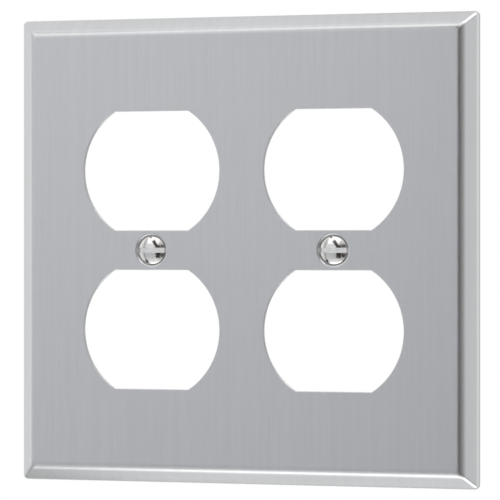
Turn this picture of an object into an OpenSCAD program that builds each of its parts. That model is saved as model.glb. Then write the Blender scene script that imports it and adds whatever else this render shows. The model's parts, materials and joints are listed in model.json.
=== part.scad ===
// Wall plate for two gangs of duplex receptacles.
// A pressed sheet-metal pan with a bevelled rim, and two captive oval-head screws.
// X runs across the plate, Z runs up, and the wall is the plane y = 0.
// The front faces -Y. The origin is the middle of the plate's back plane.

/* [Plate] */
// Width of the plate across both gangs
plate_w = 115.9; // [112:0.1:125]
// Height of the plate
plate_h = 114.3; // [110:0.1:135]
// Depth from the wall plane to the front face
plate_depth = 5.4; // [5:0.1:7]
// Thickness of the sheet
sheet_t = 0.8; // [0.6:0.05:1]

/* [Rim] */
// How far the bevel runs in from the plate's outline
bevel_run = 3.4; // [2.8:0.1:4.4]
// Height of the straight lip between the wall plane and the bevel
lip_h = 1.5; // [1.2:0.1:2]
// Inside radius of the bends
bend_r = 1.4; // [0.5:0.1:1.5]
// Radius of the four corners of the outline
corner_r = 1.2; // [0.5:0.1:1.6]

/* [Openings] */
// Distance between the centre lines of the two gangs
gang_pitch = 46.04; // [44:0.01:48]
// Distance between the centres of one gang's upper and lower openings
opening_pitch = 38.9; // [38.6:0.1:40]
// Diameter of an opening's round sides
opening_d = 34.8; // [33:0.1:36]
// Distance between an opening's flat top and bottom
opening_flats = 29.2; // [28:0.1:29.4]

/* [Screw seats] */
// Diameter of the dimple where it meets the front face
seat_d = 7.9; // [7.6:0.1:8]
// Included angle of the dimple and of the screw head
seat_angle = 82; // [78:1:90]
// Diameter of the screw hole at the bottom of the dimple
hole_d = 4.1; // [3.8:0.1:4.4]
// Length of the straight wall of the screw hole
hole_land = 0.4; // [0.3:0.1:0.6]

/* [Screws] */
// Diameter of the oval head
head_d = 6.9; // [6.6:0.1:7.1]
// Height of the domed top of the head
head_rise = 1; // [0.7:0.1:1.3]
// Height of the straight edge between the head's cone and its dome
head_edge = 0.15; // [0.1:0.05:0.3]
// Width of the driver slot
slot_w = 1.1; // [0.9:0.1:1.3]
// Depth of the driver slot from the top of the dome
slot_depth = 1.5; // [1.2:0.1:1.7]
// Outside diameter of the thread
thread_d = 3.505; // [3.4:0.005:3.6]
// Diameter of the plain neck between head and thread
neck_d = 2.9; // [2.7:0.05:3]
// Length of the screw below the edge of its head
screw_len = 12.7; // [9.5:0.1:16]
// How far in front of the wall plane the thread starts
thread_v = 0.4; // [0.2:0.1:0.6]
// Chamfer at the screw's tip
tip_chamfer = 0.45; // [0.3:0.05:0.6]

/* [Retaining washers] */
// Outside diameter of the washer
washer_d = 7.4; // [6.5:0.1:8]
// Thickness of the washer
washer_t = 0.5; // [0.4:0.05:0.7]

/* [Hidden] */

$fn = 96;
// How far a cutting shape runs past the surface it opens
past = 1;
// Steps along each bend of the sheet
bend_steps = 6;
// Radial clearance of the washer on the screw's neck
washer_fit = 0.05;
// Gaps along the screw's axis: head to dimple, and washer to thread
head_gap = 0.06;
washer_gap = 0.08;

// Angles that the sheet turns through at the lip and at the face
lip_turn = atan(bevel_run / (plate_depth - lip_h));
face_turn = 90 - lip_turn;

// The dimple, with v the distance from the wall plane towards the front
seat_slope = tan(seat_angle / 2);
seat_bottom_v = plate_depth - (seat_d - hole_d) / 2 / seat_slope;
seat_back_v = seat_bottom_v - hole_land;
seat_rear_r = seat_d / 2 + sheet_t * tan((90 - seat_angle / 2) / 2);
seat_end_r = seat_rear_r - (plate_depth - sheet_t - seat_back_v) * seat_slope;

// The screw, along the same distance from the wall plane
head_v = plate_depth - (seat_d - head_d) / 2 / seat_slope + head_gap;
neck_v = head_v - (head_d - neck_d) / 2 / seat_slope;
tip_v = head_v - screw_len;
dome_r = (head_d * head_d / 4 + head_rise * head_rise) / (2 * head_rise);
dome_top_v = head_v + head_edge + head_rise;
washer_v = thread_v + washer_gap;

function unit(v) = v / norm(v);
function polar(r, angle) = r * [cos(angle), sin(angle)];

// Arc that rounds the corner at b, between the points a and c
function bend(a, b, c, r) =
    let (to_a = unit(a - b), to_c = unit(c - b))
    let (half = acos(to_a * to_c) / 2)
    let (centre = b + unit(to_a + to_c) * r / sin(half))
    let (first = b + to_a * r / tan(half) - centre, last = b + to_c * r / tan(half) - centre)
    let (from = atan2(first.y, first.x), to = atan2(last.y, last.x))
    let (sweep = (to - from + 540) % 360 - 180)
    [for (i = [0:bend_steps]) centre + polar(r, from + sweep * i / bend_steps)];

// Right half of the pan's section: lip, bevel and face, moved in from the outside by inset
function pan_half(half_span, inset, foot_v) =
    let (foot = [half_span - inset, foot_v])
    let (lip = [half_span - inset, lip_h - inset * tan(lip_turn / 2)])
    let (rim = [half_span - bevel_run - inset * tan(face_turn / 2), plate_depth - inset])
    let (middle = [0, plate_depth - inset], r = bend_r + sheet_t - inset)
    concat([foot], bend(foot, lip, rim, r), bend(lip, rim, middle, r));

// Both halves of that section, with y towards the wall
function pan_section(half_span, inset, foot_v) =
    let (half = pan_half(half_span, inset, foot_v))
    let (last = len(half) - 1)
    [for (p = half) [p.x, -p.y], for (i = [0:last]) [-half[last - i].x, -half[last - i].y]];

// The two sections run through each other, which gives the mitred corners
module pan_solid(inset, foot_v) {
    intersection() {
        linear_extrude(height = plate_h - 2 * inset, center = true)
            polygon(pan_section(plate_w / 2, inset, foot_v));
        rotate([0, -90, 0])
            linear_extrude(height = plate_w - 2 * inset, center = true)
                polygon(pan_section(plate_h / 2, inset, foot_v));
    }
}

// Prism with the plate's outline and rounded corners
module outline_prism() {
    rotate([90, 0, 0])
        linear_extrude(height = 4 * plate_depth, center = true) {
            square([plate_w - 2 * corner_r, plate_h], center = true);
            square([plate_w, plate_h - 2 * corner_r], center = true);
            for (sx = [-1, 1], sz = [-1, 1])
                translate([sx * (plate_w / 2 - corner_r), sz * (plate_h / 2 - corner_r)])
                    circle(r = corner_r);
        }
}

// Stands a shape that was drawn along Z so that it points out of the wall
module facing_front() {
    rotate([90, 0, 0])
        children();
}

// Opening with round sides and flat top and bottom, cut through the face
module opening() {
    intersection() {
        facing_front()
            cylinder(d = opening_d, h = 4 * plate_depth, center = true);
        cube([opening_d + past, 4 * plate_depth, opening_flats], center = true);
    }
}

// Metal of the dimple behind the face
module seat_wall() {
    facing_front()
        rotate_extrude()
            polygon([
                [0, seat_back_v],
                [seat_end_r, seat_back_v],
                [seat_rear_r, plate_depth - sheet_t],
                [seat_rear_r, plate_depth - sheet_t / 2],
                [0, plate_depth - sheet_t / 2]
            ]);
}

// Hollow of the dimple and its screw hole
module seat_hollow() {
    facing_front()
        rotate_extrude()
            polygon([
                [0, seat_back_v - past],
                [hole_d / 2, seat_back_v - past],
                [hole_d / 2, seat_bottom_v],
                [seat_d / 2 + past * seat_slope, plate_depth + past],
                [0, plate_depth + past]
            ]);
}

module plate() {
    color("silver")
        difference() {
            union() {
                difference() {
                    intersection() {
                        pan_solid(0, 0);
                        outline_prism();
                    }
                    pan_solid(sheet_t, -past);
                }
                for (side = [-1, 1])
                    translate([side * gang_pitch / 2, 0, 0])
                        seat_wall();
            }
            for (side = [-1, 1]) {
                translate([side * gang_pitch / 2, 0, 0])
                    seat_hollow();
                for (row = [-1, 1])
                    translate([side * gang_pitch / 2, 0, row * opening_pitch / 2])
                        opening();
            }
        }
}

// Dome that closes the head, cut from a ball
module head_dome() {
    intersection() {
        translate([0, 0, dome_top_v - dome_r])
            sphere(r = dome_r, $fn = 192);
        translate([0, 0, head_v + head_edge / 2])
            cylinder(d = head_d, h = head_edge + 2 * head_rise);
    }
}

module screw() {
    facing_front()
        difference() {
            union() {
                rotate_extrude()
                    polygon([
                        [0, tip_v],
                        [thread_d / 2 - tip_chamfer, tip_v],
                        [thread_d / 2, tip_v + tip_chamfer],
                        [thread_d / 2, thread_v],
                        [neck_d / 2, thread_v],
                        [neck_d / 2, neck_v],
                        [head_d / 2, head_v],
                        [head_d / 2, head_v + head_edge],
                        [0, head_v + head_edge]
                    ]);
                head_dome();
            }
            translate([-head_d, -slot_w / 2, dome_top_v - slot_depth])
                cube([2 * head_d, slot_w, slot_depth + past]);
        }
}

// Fibre washer that sits against the end of the thread and keeps the screw in its hole
module retaining_washer() {
    facing_front()
        translate([0, 0, washer_v])
            difference() {
                cylinder(d = washer_d, h = washer_t);
                translate([0, 0, -past])
                    cylinder(d = neck_d + 2 * washer_fit, h = washer_t + 2 * past);
            }
}

module left_screw() {
    color("gainsboro")
        translate([-gang_pitch / 2, 0, 0])
            screw();
}

module right_screw() {
    color("gainsboro")
        translate([gang_pitch / 2, 0, 0])
            screw();
}

module left_retaining_washer() {
    color("firebrick")
        translate([-gang_pitch / 2, 0, 0])
            retaining_washer();
}

module right_retaining_washer() {
    color("firebrick")
        translate([gang_pitch / 2, 0, 0])
            retaining_washer();
}

plate();
left_screw();
right_screw();
left_retaining_washer();
right_retaining_washer();
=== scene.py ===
"""Looks of the two-gang wall plate: pressed satin steel, polished screws and fibre washers.

Everything is in metres in the part's own frame: X runs across, Z up, the wall is y = 0 and
the front faces -Y. Sections are drawn with v, the distance from the wall towards the front.
"""

import json
import math

import bmesh
import bpy
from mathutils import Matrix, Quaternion, Vector
from mathutils.geometry import delaunay_2d_cdt


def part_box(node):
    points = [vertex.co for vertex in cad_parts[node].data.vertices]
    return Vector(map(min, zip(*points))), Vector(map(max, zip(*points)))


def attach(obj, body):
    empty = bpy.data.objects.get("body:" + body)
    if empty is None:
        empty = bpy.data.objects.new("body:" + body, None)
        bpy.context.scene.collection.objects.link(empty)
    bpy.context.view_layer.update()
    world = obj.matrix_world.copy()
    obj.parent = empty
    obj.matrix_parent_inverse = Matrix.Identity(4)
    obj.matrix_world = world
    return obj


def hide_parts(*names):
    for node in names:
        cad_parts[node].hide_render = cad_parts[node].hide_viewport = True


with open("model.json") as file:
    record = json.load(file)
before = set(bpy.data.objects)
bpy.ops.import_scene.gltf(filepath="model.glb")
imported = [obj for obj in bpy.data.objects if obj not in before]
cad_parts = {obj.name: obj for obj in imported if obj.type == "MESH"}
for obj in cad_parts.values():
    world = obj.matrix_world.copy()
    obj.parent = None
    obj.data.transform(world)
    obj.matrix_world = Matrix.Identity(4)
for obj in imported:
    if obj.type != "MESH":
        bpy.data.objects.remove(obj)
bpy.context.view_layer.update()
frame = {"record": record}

MM = 0.001

# ---------------------------------------------------------------- sizes and places

plate_low, plate_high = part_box("plate")
half_w, half_h, plate_depth = plate_high.x, plate_high.z, -plate_low.y
mounts = {m["name"]: m for m in frame["record"]["mounts"]}
openings = [m for name, m in mounts.items() if name.endswith("_opening")]
screw_sides = {"left": mounts["left_thread"], "right": mounts["right_thread"]}

# The sheet and its rim
sheet_t = 0.8 * MM
back_v = plate_depth - sheet_t
bevel_run = 3.4 * MM
lip_h = 1.5 * MM
lip_bend_r = 1.4 * MM
face_bend_r = 2.0 * MM
corner_r = 1.2 * MM
mitre_r = 0.9 * MM
foot_r = 0.12 * MM

# The openings
opening_r = openings[0]["dims"]["r_mm"] * MM
opening_half_flats = 14.6 * MM
punch_roll = 0.16 * MM
punch_burr = 0.05 * MM

# The screw seats
seat_r = 3.95 * MM
seat_angle = math.radians(82)
seat_slope = math.tan(seat_angle / 2)
hole_r = 2.05 * MM
hole_land = 0.4 * MM
seat_roll = 0.45 * MM

# The screws, with 32 threads to the inch of the unified form
thread_r = screw_sides["left"]["dims"]["r_mm"] * MM
thread_pitch = 25.4 / 32 * MM
thread_depth = 0.6134 * thread_pitch
screw_low, screw_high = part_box("left_screw")
head_r = (screw_high.z - screw_low.z) / 2
neck_r = 1.45 * MM
head_rise = 1.0 * MM
head_edge = 0.15 * MM
slot_w = 1.1 * MM
slot_depth = 1.5 * MM
slot_ease = 0.05 * MM
tip_chamfer = 0.45 * MM
thread_v = 0.4 * MM
tip_v = -screw_high.y
dome_top_v = -screw_low.y
floor_v = dome_top_v - slot_depth

# Clearance of the washers on the screws' necks
washer_fit = 0.05 * MM


# ---------------------------------------------------------------- drawing sections


def fillet(a, b, c, radius, steps):
    """Points of the arc that rounds the corner b between the points a and c."""
    a, b, c = Vector(a), Vector(b), Vector(c)
    to_a, to_c = (a - b).normalized(), (c - b).normalized()
    half = to_a.angle(to_c) / 2
    centre = b + (to_a + to_c).normalized() * radius / math.sin(half)
    first = b + to_a * radius / math.tan(half) - centre
    sweep = first.angle_signed(to_c * radius / math.tan(half) + b - centre)
    return [centre + rotated(first, sweep * i / steps) for i in range(steps + 1)]


def rotated(v, angle):
    """A 2D vector turned the way that angle_signed measures."""
    c, s = math.cos(angle), math.sin(angle)
    return Vector((c * v.x + s * v.y, c * v.y - s * v.x))


def section(corners, steps=6):
    """A line through corners, each (across, v, radius, skin), with the inner ones rounded.
    Gives (across, v, skin, bend middle, length along the line) for each point. The bend
    middle is 1 in the middle of a rounded corner and 0 away from it."""
    points = []
    for i, (across, v, radius, skin) in enumerate(corners):
        if radius:
            arc = fillet(corners[i - 1][:2], (across, v), corners[i + 1][:2], radius, steps)
        else:
            arc = [Vector((across, v))]
        for j, p in enumerate(arc):
            wear = math.sin(math.pi * j / (len(arc) - 1)) if len(arc) > 1 else 0.0
            points.append((p, skin, wear))
    out, length = [], 0.0
    for i, (p, skin, wear) in enumerate(points):
        length += (p - points[i - 1][0]).length if i else 0.0
        out.append((p.x, p.y, skin, wear, length))
    return out


# ---------------------------------------------------------------- loops across the plate


def rounded_rectangle(inset):
    """Loop round the plate, that far inside its outline, as (x, z) points."""
    radius = max(mitre_r, corner_r - inset)
    w, h = half_w - inset - radius, half_h - inset - radius
    corner_steps, side_steps = 8, 12
    centres = [(w, h), (-w, h), (-w, -h), (w, -h)]
    loop = []
    for quarter, (cx, cz) in enumerate(centres):
        for i in range(corner_steps + 1):
            angle = math.radians(90 * (quarter + i / corner_steps))
            loop.append(Vector((cx + radius * math.cos(angle), cz + radius * math.sin(angle))))
        following = centres[(quarter + 1) % 4]
        angle = math.radians(90 * (quarter + 1))
        turn = Vector((radius * math.cos(angle), radius * math.sin(angle)))
        side = [Vector((cx, cz)) + turn, Vector(following) + turn]
        loop += [side[0].lerp(side[1], i / side_steps) for i in range(1, side_steps)]
    return loop


def opening_loop(x, z):
    """Gives the function that draws the outline of one opening, round at the sides and flat
    at top and bottom, grown by an offset."""

    def loop(offset):
        radius, flat = opening_r + offset, opening_half_flats + offset
        reach = math.asin(flat / radius)
        arc_steps, flat_steps = 28, 8
        points = []
        for side in (0, math.pi):
            arc = [side - reach + 2 * reach * i / arc_steps for i in range(arc_steps + 1)]
            points += [Vector((x + radius * math.cos(a), z + radius * math.sin(a))) for a in arc]
            end = points[-1]
            start = Vector((2 * x - end.x, end.y))
            points += [end.lerp(start, i / flat_steps) for i in range(1, flat_steps)]
        return points

    return loop


def circle_loop(x, z, steps=72):
    """Gives the function that draws a circle of any radius round the axis at (x, z)."""

    def loop(radius):
        angles = [math.tau * i / steps for i in range(steps)]
        return [Vector((x + radius * math.cos(a), z + radius * math.sin(a))) for a in angles]

    return loop


# ---------------------------------------------------------------- building meshes


class Skin:
    """A mesh in the making. Each vertex has its place, its bend middle and a point of the flat
    sheet it was pressed from: (across, skin, up), where skin is 0 in front, 0.5 on a cut edge
    and 1 behind."""

    def __init__(self):
        self.places, self.flats, self.wears, self.faces = [], [], [], []

    def ring(self, loop, v, flat_loop, skin, wear=0.0):
        """Adds a loop of vertices at one distance from the wall and gives their numbers."""
        start = len(self.places)
        self.places += [Vector((p.x, -v, p.y)) for p in loop]
        self.flats += [Vector((f.x, skin, f.y)) for f in flat_loop]
        self.wears += [wear] * len(loop)
        return list(range(start, len(self.places)))

    def bridge(self, a, b):
        """Adds a band of faces between two rings of the same length."""
        count = len(a)
        for i in range(count):
            j = (i + 1) % count
            self.faces.append((a[i], a[j], b[j], b[i]))

    def sweep(self, line, loop):
        """Carries a section round a loop, from the flat skin in front, over the sheet's cut
        edge, to the flat skin behind. The sheet's flat place runs on along the section as far
        as the cut edge and back again behind. Gives the first and the last ring."""
        rings = []
        first, whole = line[0][0], line[-1][4]
        for across, v, skin, wear, length in line:
            flat = loop(first - min(length, whole - length))
            rings.append(self.ring(loop(across), v, flat, skin, wear))
        for a, b in zip(rings, rings[1:]):
            self.bridge(a, b)
        return rings[0], rings[-1]

    def fill(self, outline, holes):
        """Flat triangles between an outline and the holes in it."""
        used, edges = [], []
        for ring in [outline, *holes]:
            start, count = len(used), len(ring)
            used += ring
            edges += [(start + i, start + (i + 1) % count) for i in range(count)]
        points = [self.across(i) for i in used]
        made = delaunay_2d_cdt(points, edges, [], 1, 1e-9)
        kept = {new: used[old[0]] for new, old in enumerate(made[3])}
        hole_loops = [[self.across(i) for i in hole] for hole in holes]
        for face in made[2]:
            middle = sum((made[0][i] for i in face), Vector((0, 0))) / len(face)
            if not any(encloses(loop, middle) for loop in hole_loops):
                self.faces.append(tuple(kept[i] for i in face))

    def across(self, i):
        """A vertex seen from the front."""
        return Vector((self.places[i].x, self.places[i].z))

    def build(self, name, sharp_degrees=38):
        """Object of the finished mesh, with the flat sheet and the bend middles as attributes."""
        mesh = bpy.data.meshes.new(name)
        mesh.from_pydata(self.places, [], self.faces)
        flat = mesh.attributes.new("flat_sheet", "FLOAT_VECTOR", "POINT")
        flat.data.foreach_set("vector", [c for f in self.flats for c in f])
        wear = mesh.attributes.new("wear", "FLOAT", "POINT")
        wear.data.foreach_set("value", self.wears)
        return finished(name, mesh, sharp_degrees)


def encloses(loop, point):
    """True where a closed loop goes round a point."""
    inside = False
    for a, b in zip(loop, loop[1:] + loop[:1]):
        if (a.y > point.y) != (b.y > point.y):
            crossing = a.x + (point.y - a.y) / (b.y - a.y) * (b.x - a.x)
            inside = inside != (point.x < crossing)
    return inside


def finished(name, mesh, sharp_degrees):
    """Object for a closed mesh, faces outwards, smooth except at its sharp edges."""
    bm = bmesh.new()
    bm.from_mesh(mesh)
    bmesh.ops.recalc_face_normals(bm, faces=bm.faces)
    bm.to_mesh(mesh)
    bm.free()
    mesh.shade_smooth()
    mesh.set_sharp_from_angle(angle=math.radians(sharp_degrees))
    piece = bpy.data.objects.new(name, mesh)
    bpy.context.scene.collection.objects.link(piece)
    return piece


# ---------------------------------------------------------------- the plate


def rim_section():
    """Face, bevel and lip of the rim, by how far in from the outline each point lies."""
    lip_turn = math.atan(bevel_run / (plate_depth - lip_h))
    face_turn = math.pi / 2 - lip_turn
    lip_in = lip_h - sheet_t * math.tan(lip_turn / 2)
    run_in = bevel_run + sheet_t * math.tan(face_turn / 2)
    margin = 1.6 * MM
    return section([
        (bevel_run + margin, plate_depth, 0, 0),
        (bevel_run, plate_depth, face_bend_r + sheet_t, 0),
        (0, lip_h, lip_bend_r + sheet_t, 0),
        (0, 0, foot_r, 0.5),
        (sheet_t, 0, foot_r, 0.5),
        (sheet_t, lip_in, lip_bend_r, 1),
        (run_in, back_v, face_bend_r, 1),
        (run_in + margin, back_v, 0, 1),
    ], steps=8)


def opening_section():
    """Punched edge of an opening, rolled over in front and burred behind, by how far outside
    the cut each point lies."""
    margin = 1.2 * punch_roll
    sheared_v = plate_depth - sheet_t / 3
    return section([
        (margin, plate_depth, 0, 0),
        (0, plate_depth, punch_roll, 0),
        (0, sheared_v, 0, 0.5),
        (0, back_v, punch_burr, 0.5),
        (margin, back_v, 0, 1),
    ], steps=4)


def dimple_section():
    """Screw seat: a cone pressed into the face, down to the hole, by radius."""
    seat_turn = math.pi / 2 - seat_angle / 2
    bottom_v = plate_depth - (seat_r - hole_r) / seat_slope
    end_v = bottom_v - hole_land
    rear_r = seat_r + sheet_t * math.tan(seat_turn / 2)
    end_r = rear_r - (back_v - end_v) * seat_slope
    front_margin, rear_margin = 0.45 * MM, 0.25 * MM
    bottom_ease, hole_ease, end_ease, rear_fillet = 0.2 * MM, 0.06 * MM, 0.12 * MM, 0.4 * MM
    return section([
        (seat_r + front_margin, plate_depth, 0, 0),
        (seat_r, plate_depth, seat_roll, 0),
        (hole_r, bottom_v, bottom_ease, 0),
        (hole_r, end_v, hole_ease, 0.5),
        (end_r, end_v, end_ease, 0.5),
        (rear_r, back_v, rear_fillet, 1),
        (rear_r + rear_margin, back_v, 0, 1),
    ], steps=6)


def pressed_plate():
    """The sheet: its rim, openings and dimples, joined by the flat face in front and behind."""
    skin = Skin()
    front_outline, back_outline = skin.sweep(rim_section(), rounded_rectangle)
    front_holes, back_holes = [], []
    for line, loop_at, places in ((opening_section(), opening_loop, openings),
                                  (dimple_section(), circle_loop, screw_sides.values())):
        for mount in places:
            x, _, z = mount["pos_m"]
            front, back = skin.sweep(line, loop_at(x, z))
            front_holes.append(front)
            back_holes.append(back)
    skin.fill(front_outline, front_holes)
    skin.fill(back_outline, back_holes)
    plate = skin.build("pressed_plate")
    normals = plate.modifiers.new("face_weighted_normals", "WEIGHTED_NORMAL")
    normals.keep_sharp = True
    return plate


# ---------------------------------------------------------------- the screws


def thread_height(phase):
    """Height of the thread, 0 at the root to 1 at the crest, at a phase of its pitch. The
    crest and the two flanks take their shares of the pitch, and the root takes the rest."""
    crest, flank = 1 / 8, 5 / 16
    away = abs((phase + 0.5) % 1 - 0.5)
    return min(1, max(0, 1 - (away - crest / 2) / flank))


def thread_radius(angle, v):
    """Radius of the threaded shank, faded in at the neck and chamfered at the tip."""
    root_r = thread_r - thread_depth
    run_out = 0.5 * thread_pitch
    phase = (thread_v - v) / thread_pitch + angle / math.tau
    full = root_r + (thread_r - root_r) * thread_height(phase)
    start = min(1, (thread_v - v) / run_out)
    radius = neck_r + (full - neck_r) * start
    cone = thread_r - tip_chamfer + (v - tip_v)
    return min(radius, cone)


def head_outline():
    """Section of the head from the top of its dome to its neck."""
    dome_r = (head_r**2 + head_rise**2) / (2 * head_rise)
    reach = math.asin(head_r / dome_r)
    edge_v = dome_top_v - head_rise
    low_v = edge_v - head_edge
    neck_v = low_v - (head_r - neck_r) / seat_slope
    floor_r = head_r - (low_v - floor_v) * seat_slope
    crown_ease, edge_ease, neck_fillet = 0.1 * MM, 0.05 * MM, 0.3 * MM
    dome_steps = 14
    dome = []
    for i in range(1, dome_steps):
        a = reach * i / dome_steps
        dome.append((dome_r * math.sin(a), dome_top_v - dome_r * (1 - math.cos(a))))
    under = section([
        (dome[-1][0], dome[-1][1], 0, 0),
        (head_r, edge_v, crown_ease, 0),
        (head_r, low_v, edge_ease, 0),
        (floor_r, floor_v, 0, 0),
        (neck_r, neck_v, neck_fillet, 0),
        (neck_r, thread_v, 0, 0),
    ], steps=4)
    return dome[:-1] + [(point[0], point[1]) for point in under]


def screw_head(axis_x, columns):
    """Mesh of the head and its neck, open where the thread starts, with its driver slot."""
    bm = bmesh.new()
    rings = []
    for r, v in head_outline():
        angles = [math.tau * i / columns for i in range(columns)]
        rings.append([bm.verts.new((axis_x + r * math.cos(a), -v, r * math.sin(a)))
                      for a in angles])
    top = bm.verts.new((axis_x, -dome_top_v, 0))
    for i in range(columns):
        j = (i + 1) % columns
        bm.faces.new((top, rings[0][i], rings[0][j]))
        for a, b in zip(rings, rings[1:]):
            bm.faces.new((a[j], a[i], b[i], b[j]))
    cut_slot(bm)
    return bm


def cut_slot(bm):
    """Cuts the driver slot across a head: its skin is split along the slot, the strip inside
    is taken out, and walls and a floor are put in. The slot's edges are eased."""
    near = 0.001 * MM
    wall_z = slot_w / 2
    for z in (-wall_z - slot_ease, -wall_z, wall_z, wall_z + slot_ease):
        above = [f for f in bm.faces if -f.calc_center_median().y > floor_v]
        parts = {*above, *(e for f in above for e in f.edges), *(v for f in above for v in f.verts)}
        bmesh.ops.bisect_plane(bm, geom=list(parts), plane_co=(0, 0, z), plane_no=(0, 0, 1))
    bm.normal_update()
    for vert in bm.verts:
        if abs(abs(vert.co.z) - wall_z) < near and -vert.co.y > floor_v + near:
            vert.co -= slot_ease * Vector((vert.normal.x, vert.normal.y, 0)).normalized()
    middles = [(f, f.calc_center_median()) for f in bm.faces]
    strip = [f for f, middle in middles if abs(middle.z) < wall_z and -middle.y > floor_v]
    bmesh.ops.delete(bm, geom=strip, context="FACES")
    raised = [v for v in bm.verts if -v.co.y > floor_v - near and abs(v.co.z) < wall_z + near]
    for z in (-wall_z, wall_z):
        close(bm, [v for v in raised if abs(v.co.z - z) < near], "xy")
    close(bm, [v for v in raised if abs(-v.co.y - floor_v) < near], "xz")


def close(bm, verts, plane):
    """Puts one flat face on the points of a convex outline in the xy or the xz plane."""
    places = [getattr(v.co, plane) for v in verts]
    middle = sum(places, Vector((0, 0))) / len(places)
    turns = [math.atan2(p.y - middle.y, p.x - middle.x) for p in places]
    bm.faces.new([verts[i] for i in sorted(range(len(verts)), key=lambda i: turns[i])])


def cut_thread(bm, axis_x, columns):
    """Adds the threaded shank. Its rows of points follow the right-hand helix, so that the
    crest is an even line, and they are held back at the neck and at the tip."""
    rows_per_pitch = 16
    rows = math.ceil(rows_per_pitch * ((thread_v - tip_v) / thread_pitch + 1))
    grid = []
    for row in range(rows + 1):
        line = []
        for column in range(columns):
            turns = row / rows_per_pitch - column / columns
            v = min(thread_v, max(tip_v, thread_v - turns * thread_pitch))
            angle = math.tau * column / columns
            r = thread_radius(angle, v)
            line.append(bm.verts.new((axis_x + r * math.cos(angle), -v, r * math.sin(angle))))
        grid.append(line)
    for row in range(rows):
        for column in range(columns):
            here, below = grid[row][column], grid[row + 1][column]
            if column + 1 < columns:
                beside, past = grid[row][column + 1], grid[row + 1][column + 1]
            else:
                beside = grid[max(0, row - rows_per_pitch)][0]
                past = grid[max(0, row + 1 - rows_per_pitch)][0]
            if beside != past:
                bm.faces.new((here, beside, past, below))
            else:
                bm.faces.new((here, beside, below))


def threaded_screw(side):
    """One screw, its head and its shank welded into one closed mesh, with the tip filled."""
    axis_x = screw_sides[side]["pos_m"][0]
    columns = 72
    weld, sliver = 0.002 * MM, 0.001 * MM
    bm = screw_head(axis_x, columns)
    cut_thread(bm, axis_x, columns)
    bmesh.ops.remove_doubles(bm, verts=bm.verts, dist=weld)
    bmesh.ops.dissolve_degenerate(bm, edges=bm.edges, dist=sliver)
    tip = [e for e in bm.edges if e.is_boundary]
    bmesh.ops.holes_fill(bm, edges=tip, sides=0)
    mesh = bpy.data.meshes.new(f"{side}_threaded_screw")
    bm.to_mesh(mesh)
    bm.free()
    return finished(f"{side}_threaded_screw", mesh, sharp_degrees=30)


# ---------------------------------------------------------------- the washers


def fibre_washer(side):
    """One washer, a flat ring with eased edges round the screw's neck."""
    low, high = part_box(f"{side}_retaining_washer")
    axis_x = screw_sides[side]["pos_m"][0]
    outer_r = (high.z - low.z) / 2
    inner_r = neck_r + washer_fit
    front_v, rear_v = -low.y, -high.y
    ease = 0.07 * MM
    middle_r = (inner_r + outer_r) / 2
    line = section([
        (middle_r, front_v, 0, 0),
        (outer_r, front_v, ease, 0),
        (outer_r, rear_v, ease, 0.5),
        (inner_r, rear_v, ease, 1),
        (inner_r, front_v, ease, 0.5),
        (middle_r, front_v, 0, 0),
    ], steps=4)[:-1]
    skin = Skin()
    circle = circle_loop(axis_x, 0)
    rings = [skin.ring(circle(r), v, circle(r), tag, wear) for r, v, tag, wear, _ in line]
    for i, ring in enumerate(rings):
        skin.bridge(ring, rings[(i + 1) % len(rings)])
    return skin.build(f"{side}_fibre_washer")


# ---------------------------------------------------------------- materials


class Nodes:
    """Short hand for wiring one material's nodes."""

    def __init__(self, name):
        self.material = bpy.data.materials.new(name)
        self.material.use_nodes = True
        self.tree = self.material.node_tree
        self.shader = self.tree.nodes["Principled BSDF"]

    def node(self, kind, inputs=None, **settings):
        made = self.tree.nodes.new(kind)
        for key, value in settings.items():
            setattr(made, key, value)
        for key, value in (inputs or {}).items():
            self.put(made.inputs[key], value)
        return made

    def put(self, socket, value):
        if isinstance(value, bpy.types.NodeSocket):
            self.tree.links.new(value, socket)
        else:
            socket.default_value = value

    def attribute(self, name, output):
        return self.node("ShaderNodeAttribute", attribute_name=name).outputs[output]

    def math(self, operation, a, b=0.0):
        return self.node("ShaderNodeMath", {0: a, 1: b}, operation=operation).outputs[0]

    def weighed(self, a, a_share, b, b_share):
        """Sum of two values, each times its share."""
        return self.math("ADD", self.math("MULTIPLY", a, a_share),
                         self.math("MULTIPLY", b, b_share))

    def ramp(self, value, low, high, to_low=0.0, to_high=1.0):
        """Value carried smoothly from low..high to to_low..to_high."""
        return self.node("ShaderNodeMapRange",
                         {"Value": value, "From Min": low, "From Max": high,
                          "To Min": to_low, "To Max": to_high},
                         interpolation_type="SMOOTHSTEP").outputs["Result"]

    def noise(self, vector, scale, detail=2.0, roughness=0.5):
        return self.node("ShaderNodeTexNoise",
                         {"Vector": vector, "Scale": scale, "Detail": detail,
                          "Roughness": roughness}).outputs["Fac"]

    def stretched(self, vector, scale):
        return self.node("ShaderNodeVectorMath", {0: vector, 1: scale},
                         operation="MULTIPLY").outputs[0]

    def mix(self, factor, a, b):
        """Colour a where factor is 0, b where it is 1."""
        made = self.node("ShaderNodeMix", data_type="RGBA")
        self.put(made.inputs["Factor"], factor)
        self.put(made.inputs[6], a)
        self.put(made.inputs[7], b)
        return made.outputs[2]

    def between(self, factor, a, b):
        """Number a where factor is 0, b where it is 1."""
        return self.node("ShaderNodeMix", {"Factor": factor, 2: a, 3: b},
                         data_type="FLOAT").outputs[0]

    def bump(self, height, distance, strength):
        return self.node("ShaderNodeBump",
                         {"Height": height, "Distance": distance,
                          "Strength": strength}).outputs["Normal"]

    def finish(self, **sockets):
        """Sets the shader's own sockets, named with _ for a space, and gives the material."""
        for key, value in sockets.items():
            self.put(self.shader.inputs[key.replace("_", " ")], value)
        return self.material


def cut_edge(n, skin):
    """1 on a sheet's cut edge and 0 on its two faces."""
    return n.math("MULTIPLY", n.ramp(skin, 0.1, 0.4), n.ramp(skin, 0.9, 0.6))


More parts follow.
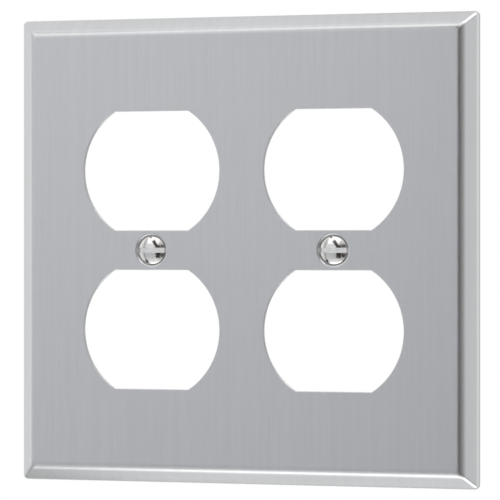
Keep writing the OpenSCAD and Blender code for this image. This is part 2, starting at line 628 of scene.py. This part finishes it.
def satin_front(n, sheet, wear):
    """Tone, roughness and relief of the front grain, lighter and smoother in the bends' middles."""
    fine = n.noise(n.stretched(sheet, (1.0, 0.0, 0.011)), 5200.0, 3.0, 0.65)
    broad = n.noise(n.stretched(sheet, (1.0, 0.0, 0.03)), 520.0, 3.0, 0.6)
    cloud = n.noise(n.stretched(sheet, (1.0, 0.0, 0.5)), 34.0, 2.0)
    grain = n.weighed(fine, 0.65, broad, 0.35)
    # Lighter base colour and lower roughness along the middle of every rounded bend in front,
    # mottled by the broad grain
    bend_lighter_smoother = n.math("MULTIPLY", wear, n.ramp(broad, 0.3, 0.7, 0.5, 0.8))
    tone = n.mix(n.ramp(grain, 0.3, 0.7), (0.586, 0.592, 0.600, 1), (0.654, 0.660, 0.667, 1))
    tone = n.mix(n.ramp(cloud, 0.3, 0.75, 0.0, 0.25), tone, (0.598, 0.603, 0.610, 1))
    tone = n.mix(bend_lighter_smoother, tone, (0.690, 0.695, 0.700, 1))
    rough = n.between(bend_lighter_smoother, n.ramp(grain, 0.25, 0.75, 0.27, 0.36), 0.27)
    return tone, rough, grain


def rolled_back(n, sheet):
    """Tone, roughness and relief of the mill finish behind, with faint smudges."""
    rolled = n.noise(n.stretched(sheet, (1.0, 0.0, 0.012)), 2600.0, 4.0, 0.7)
    smudge = n.noise(n.stretched(sheet, (1.0, 0.0, 0.4)), 46.0, 3.0, 0.55)
    tone = n.mix(n.ramp(rolled, 0.3, 0.7), (0.490, 0.493, 0.496, 1), (0.550, 0.553, 0.556, 1))
    tone = n.mix(n.ramp(smudge, 0.4, 0.75, 0.0, 0.4), tone, (0.470, 0.470, 0.467, 1))
    rough = n.ramp(n.weighed(rolled, 0.4, smudge, 0.6), 0.3, 0.7, 0.36, 0.46)
    return tone, rough, rolled


def satin_steel():
    """Stainless sheet: vertical satin grain in front, a duller rolled finish behind, dull
    sheared edges, and a lighter, smoother tone along the middle of the bends. The grain
    follows the flat sheet, so it runs on over the bends."""
    n = Nodes("satin_steel")
    sheet, wear = n.attribute("flat_sheet", "Vector"), n.attribute("wear", "Fac")
    skin = n.node("ShaderNodeSeparateXYZ", {0: sheet}).outputs["Y"]
    behind, edge = n.ramp(skin, 0.6, 0.9), cut_edge(n, skin)
    front_tone, front_rough, grain = satin_front(n, sheet, wear)
    back_tone, back_rough, rolled = rolled_back(n, sheet)
    sheared = n.noise(sheet, 3000.0, 3.0, 0.6)
    cut_tone = n.mix(n.ramp(sheared, 0.3, 0.7), (0.42, 0.42, 0.42, 1), (0.50, 0.50, 0.50, 1))

    tone = n.mix(edge, n.mix(behind, front_tone, back_tone), cut_tone)
    rough = n.between(behind, front_rough, back_rough)
    rough = n.math("ADD", rough, n.math("MULTIPLY", edge, 0.10))
    relief = n.between(edge, n.between(behind, grain, rolled), sheared)
    relief = n.between(n.math("MULTIPLY", wear, 0.8), relief, 0.5)
    normal = n.bump(relief, 0.006 * MM, 0.6)
    return n.finish(Base_Color=tone, Metallic=1.0, Roughness=rough, Normal=normal,
                    Anisotropic=0.45)


def polished_screw():
    """Bright plated screw: faint handling marks on the head, and a duller shank."""
    n = Nodes("polished_screw")
    place = n.node("ShaderNodeTexCoord").outputs["Object"]
    fine = n.noise(place, 6000.0, 3.0, 0.6)
    handled = n.noise(place, 900.0, 4.0, 0.6)
    depth = n.node("ShaderNodeSeparateXYZ", {0: place}).outputs["Y"]
    bright_to_y, dull_from_y = -3.2 * MM, -1.0 * MM
    shank = n.ramp(depth, bright_to_y, dull_from_y)
    tone = n.mix(n.ramp(handled, 0.35, 0.7), (0.770, 0.762, 0.742, 1), (0.680, 0.672, 0.650, 1))
    tone = n.mix(n.math("MULTIPLY", shank, n.ramp(handled, 0.3, 0.7, 0.3, 0.9)), tone,
                 (0.560, 0.550, 0.525, 1))
    rough = n.ramp(handled, 0.3, 0.75, 0.07, 0.15)
    rough = n.math("ADD", rough, n.math("MULTIPLY", shank, n.ramp(fine, 0.3, 0.7, 0.08, 0.16)))
    normal = n.bump(fine, 0.0008 * MM, 0.5)
    return n.finish(Base_Color=tone, Metallic=1.0, Roughness=rough, Normal=normal)


def vulcanised_fibre():
    """Red-brown fibre sheet, with a faint weave of fibres and darker punched edges."""
    n = Nodes("vulcanised_fibre")
    place = n.node("ShaderNodeTexCoord").outputs["Object"]
    fibres = n.noise(n.stretched(place, (1.0, 1.0, 0.2)), 5200.0, 4.0, 0.7)
    crossing = n.noise(n.stretched(place, (0.2, 1.0, 1.0)), 5200.0, 4.0, 0.7)
    weave = n.weighed(fibres, 0.5, crossing, 0.5)
    sheet = n.attribute("flat_sheet", "Vector")
    edge = cut_edge(n, n.node("ShaderNodeSeparateXYZ", {0: sheet}).outputs["Y"])
    tone = n.mix(n.ramp(weave, 0.35, 0.65), (0.235, 0.050, 0.032, 1), (0.345, 0.092, 0.058, 1))
    tone = n.mix(edge, tone, (0.150, 0.034, 0.024, 1))
    rough = n.ramp(weave, 0.3, 0.7, 0.55, 0.75)
    normal = n.bump(weave, 0.02 * MM, 0.7)
    return n.finish(Base_Color=tone, Roughness=rough, Normal=normal)


# ---------------------------------------------------------------- the studio


def towards(azimuth, elevation):
    """Unit vector out from the plate, in degrees: azimuth 0 is in front and 90 on +X."""
    a, e = math.radians(azimuth), math.radians(elevation)
    return Vector((math.sin(a) * math.cos(e), -math.cos(a) * math.cos(e), math.sin(e)))


def camera():
    """The view of the photograph: a long lens level with the plate, to its right."""
    azimuth, elevation, distance = 16.42, 0.08, 0.7067
    aim_right, aim_up = 0.59 * MM, 0.05 * MM
    data = bpy.data.cameras.new("camera")
    data.lens, data.sensor_width = 208.1, 36.0
    data.clip_start, data.clip_end = 0.01, 100.0
    eye = bpy.data.objects.new("camera", data)
    bpy.context.scene.collection.objects.link(eye)
    eye.location = distance * towards(azimuth, elevation)
    aim = aim_right * towards(azimuth + 90, 0) + Vector((0, 0, aim_up))
    eye.rotation_mode = "QUATERNION"
    eye.rotation_quaternion = (aim - eye.location).to_track_quat("-Z", "Y")
    bpy.context.scene.camera = eye


def studio_floor():
    """A pale disc that lies below the photograph's view."""
    radius, height = 14.0, -1.5
    bm = bmesh.new()
    bmesh.ops.create_circle(bm, cap_ends=True, segments=96, radius=radius)
    bmesh.ops.translate(bm, vec=(0, 0, height), verts=bm.verts)
    mesh = bpy.data.meshes.new("studio_floor")
    bm.to_mesh(mesh)
    bm.free()
    floor = bpy.data.objects.new("studio_floor", mesh)
    bpy.context.scene.collection.objects.link(floor)
    n = Nodes("pale_floor")
    place = n.node("ShaderNodeTexCoord").outputs["Object"]
    tone = n.mix(n.noise(place, 3.0), (0.90, 0.90, 0.90, 1), (0.93, 0.93, 0.93, 1))
    mesh.materials.append(n.finish(Base_Color=tone, Roughness=0.8))


def aimed(obj, direction, distance, roll=0.0):
    """Puts an object in a direction from the plate, (azimuth, elevation), turns it to face
    the plate, and rolls it by degrees."""
    obj.location = distance * towards(*direction)
    obj.rotation_mode = "QUATERNION"
    facing = obj.location.to_track_quat("Z", "Y")
    obj.rotation_quaternion = facing @ Quaternion((0, 0, 1), math.radians(roll))


def softbox(name, direction, distance, width, height, watts):
    """A soft light that the camera doesn't see."""
    data = bpy.data.lights.new(name, "AREA")
    data.shape = "RECTANGLE"
    data.size, data.size_y, data.energy = width, height, watts
    light = bpy.data.objects.new(name, data)
    bpy.context.scene.collection.objects.link(light)
    light.visible_camera = False
    aimed(light, direction, distance)


def net(name, direction, distance, width, height, share, edge, roll=0.0):
    """A photographer's net that only reflections see. Its middle lets that share of the
    light through, and it thins out towards its rim over the edge, a share of its half."""
    mesh = bpy.data.meshes.new(name)
    x, y = width / 2, height / 2
    mesh.from_pydata([(-x, -y, 0), (x, -y, 0), (x, y, 0), (-x, y, 0)], [], [(0, 1, 2, 3)])
    n = Nodes(name)
    place = n.node("ShaderNodeSeparateXYZ", {0: n.node("ShaderNodeTexCoord").outputs["Object"]})
    away_x = n.math("ABSOLUTE", n.math("DIVIDE", place.outputs["X"], x))
    away_y = n.math("ABSOLUTE", n.math("DIVIDE", place.outputs["Y"], y))
    cover = n.math("MULTIPLY", n.ramp(away_x, 1.0, 1.0 - edge), n.ramp(away_y, 1.0, 1.0 - edge))
    tint = n.mix(cover, (1, 1, 1, 1), (*share, 1))
    cloth = n.node("ShaderNodeBsdfTransparent", {"Color": tint})
    n.put(n.tree.nodes["Material Output"].inputs["Surface"], cloth.outputs["BSDF"])
    mesh.materials.append(n.material)
    card = bpy.data.objects.new(name, mesh)
    bpy.context.scene.collection.objects.link(card)
    card.visible_camera = False
    card.visible_diffuse = False
    card.visible_shadow = False
    aimed(card, direction, distance, roll)


def right_nets():
    """The dark side of the room: the bands along the right-hand bends and on the screws."""
    net("dark_net", (40, -4), 1.2, 3.0, 3.0, (0.40, 0.40, 0.40), 0.8)
    net("grey_strip", (30, -4), 1.1, 0.80, 1.4, (0.60, 0.59, 0.59), 0.6)
    net("black_strip", (13, -6), 1.05, 0.44, 1.34, (0.14, 0.12, 0.11), 0.3)
    net("high_side_net", (37, 19), 1.0, 0.42, 0.26, (0.36, 0.34, 0.32), 0.5)
    net("low_side_net", (37, -23), 1.0, 0.42, 0.32, (0.30, 0.28, 0.27), 0.5)


def stand_nets():
    """A light's boom, its end and its stand: the dark streak and spots on the screws."""
    net("black_boom", (-2, 31), 1.0, 0.28, 0.62, (0.06, 0.05, 0.05), 0.35, 38)
    net("boom_end", (-40, 54), 1.0, 0.18, 0.22, (0.12, 0.11, 0.11), 0.35, 60)
    net("black_stand", (-54, -41), 1.0, 0.24, 0.24, (0.10, 0.09, 0.09), 0.4)


def front_nets():
    """The tone of the face, darker low down, and the dip beside the left-hand bend."""
    net("left_net", (-52, 0), 1.0, 0.34, 2.6, (0.58, 0.58, 0.58), 0.6)
    net("low_net", (-22, -20), 1.4, 2.0, 1.5, (0.74, 0.75, 0.76), 0.8)
    net("front_net", (-22, 0), 1.5, 2.4, 3.0, (0.89, 0.90, 0.935), 0.6)


def back_nets():
    """The room behind the plate, which its back reflects."""
    net("back_net", (158, 0), 1.3, 1.4, 2.2, (0.72, 0.72, 0.72), 0.5)
    net("high_back_net", (164, 58), 1.3, 2.0, 1.0, (0.74, 0.74, 0.74), 0.5)
    net("low_back_net", (164, -58), 1.3, 2.0, 1.0, (0.74, 0.74, 0.74), 0.5)


def softboxes():
    """The bright lines along the top and bottom bends and at the right-hand mitres."""
    softbox("top_box", (-12, 44), 1.3, 1.2, 0.8, 1.3)
    softbox("low_box", (-2, -64), 1.3, 1.2, 0.50, 1.75)
    softbox("right_top_box", (66, 54), 1.3, 0.4, 0.4, 2.6)
    softbox("right_low_box", (72, -56), 1.3, 0.4, 0.4, 2.6)


def studio():
    """A white room with a pale floor. Directions are degrees, distances and sizes metres."""
    world = bpy.data.worlds.new("studio")
    bpy.context.scene.world = world
    world.use_nodes = True
    background = world.node_tree.nodes["Background"]
    background.inputs["Color"].default_value = (1, 1, 1, 1)
    background.inputs["Strength"].default_value = 1.0
    bpy.context.scene.view_settings.view_transform = "Standard"
    studio_floor()
    right_nets()
    stand_nets()
    front_nets()
    back_nets()
    # Dims the bevel at the lower left corner only
    net("corner_net", (-90, -51), 0.206, 0.30, 0.142, (0.60, 0.60, 0.60), 0.5)
    softboxes()


# ---------------------------------------------------------------- the whole object


camera()
studio()

steel, bright, fibre = satin_steel(), polished_screw(), vulcanised_fibre()

plate = pressed_plate()
plate.data.materials.append(steel)
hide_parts("plate")
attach(plate, "plate")

for side in screw_sides:
    screw = threaded_screw(side)
    screw.data.materials.append(bright)
    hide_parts(f"{side}_screw")
    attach(screw, f"{side}_screw")

    washer = fibre_washer(side)
    washer.data.materials.append(fibre)
    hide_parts(f"{side}_retaining_washer")
    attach(washer, f"{side}_washer")
